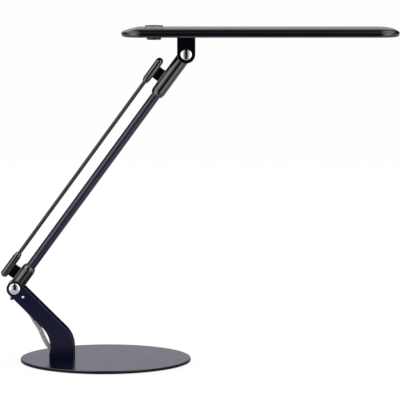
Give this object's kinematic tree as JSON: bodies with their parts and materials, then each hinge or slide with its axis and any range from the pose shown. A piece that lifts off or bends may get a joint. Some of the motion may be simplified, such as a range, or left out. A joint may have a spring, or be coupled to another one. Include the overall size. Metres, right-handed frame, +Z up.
{
  "type": "folding led desk lamp",
  "caption": "Flat LED desk lamp: a slim light head on a tube-and-rod arm and a bent channel stand folds at two friction pivots above a round plate base.",
  "frame": {"origin": "centre of the base's underside, on the surface the lamp stands on", "axes": "+Z up, +X the way the light head reaches from its pivot, Y along both pivot axes; the lamp's front side faces -Y"},
  "size_m": [0.4651, 0.2, 0.3949],
  "materials": {
    "navy_paint": "satin black powder coat with a slight blue cast",
    "base_paint": "satin black lacquer that mirrors softly",
    "foam": "matt black foam rubber",
    "black_plastic": "glossy black ABS",
    "shell_plastic": "smooth navy-black ABS",
    "nylon": "natural nylon",
    "pvc": "clear flexible PVC over grey wires",
    "chrome": "polished",
    "silver_plastic": "bright silver plated ABS",
    "steel": "zinc plated",
    "brass": "plated",
    "opal": "opal white diffusing acrylic",
    "acrylic": "clear acrylic",
    "white_film": "white PET film",
    "aluminium": "plain sheet",
    "led_white": "yellow phosphor",
    "polyimide": "amber film",
    "circuit_board": "green solder mask",
    "component_black": "moulded",
    "white_plastic": "moulded"
  },
  "bodies": {
    "base": {"base_plate": "base_paint", "base_pad": "foam", "foot_screws": "steel", "stand": "navy_paint", "foot_block": "component_black", "dc_jack": "black_plastic", "jack_pin": "brass", "lead_grommet": "foam", "stand_lead": "pvc", "stop_pin": "chrome", "lower_pivot_screws": "chrome", "lower_washers": "nylon"},
    "arm": {"lower_fitting": "black_plastic", "stop_peg": "black_plastic", "main_tube": "navy_paint", "tube_set_screws": "steel", "tie_rod": "navy_paint", "upper_fitting": "black_plastic", "arm_lead": "pvc"},
    "head": {"head_bracket": "black_plastic", "upper_pivot_screws": "chrome", "upper_washers": "nylon", "bracket_screws": "steel", "mount_plate": "steel", "head_shell": "shell_plastic", "bottom_cover": "shell_plastic", "cover_screws": "steel", "diffuser": "opal", "light_guide": "acrylic", "reflector": "white_film", "heat_spreader": "aluminium", "led_strips": "aluminium", "leds": "led_white", "led_flex": "polyimide", "driver_board": "circuit_board", "board_parts": "component_black", "board_screws": "steel", "dimmer_body": "component_black", "switch_body": "component_black", "lead_connector": "white_plastic", "head_lead": "pvc"},
    "power_button": {"button_cap": "black_plastic", "button_skirt": "silver_plastic", "switch_plunger": "white_plastic"},
    "dimmer_knob": {"dimmer_knob": "black_plastic", "dimmer_shaft": "steel"}
  },
  "joints": [
    {"name": "arm_tilt", "type": "hinge", "parent": "base", "child": "arm", "pos_m": [-0.10618, 0, 0.08688], "axis": [0, 1, 0], "range_deg": [-46, 40]},
    {"name": "head_tilt", "type": "hinge", "parent": "arm", "child": "head", "pos_m": [0.09492, 0, 0.36165], "axis": [0, 1, 0], "range_deg": [-30, 126]},
    {"name": "button_press", "type": "slide", "parent": "head", "child": "power_button", "axis": [0, 0, -1], "range_m": [0, 0.001], "stiffness_N_per_m": 400, "springref_m": -0.003},
    {"name": "dimmer_turn", "type": "hinge", "parent": "head", "child": "dimmer_knob", "pos_m": [0.05742, 0, 0.38225], "axis": [0, 0, 1], "range_deg": [0, 270]}
  ]
}
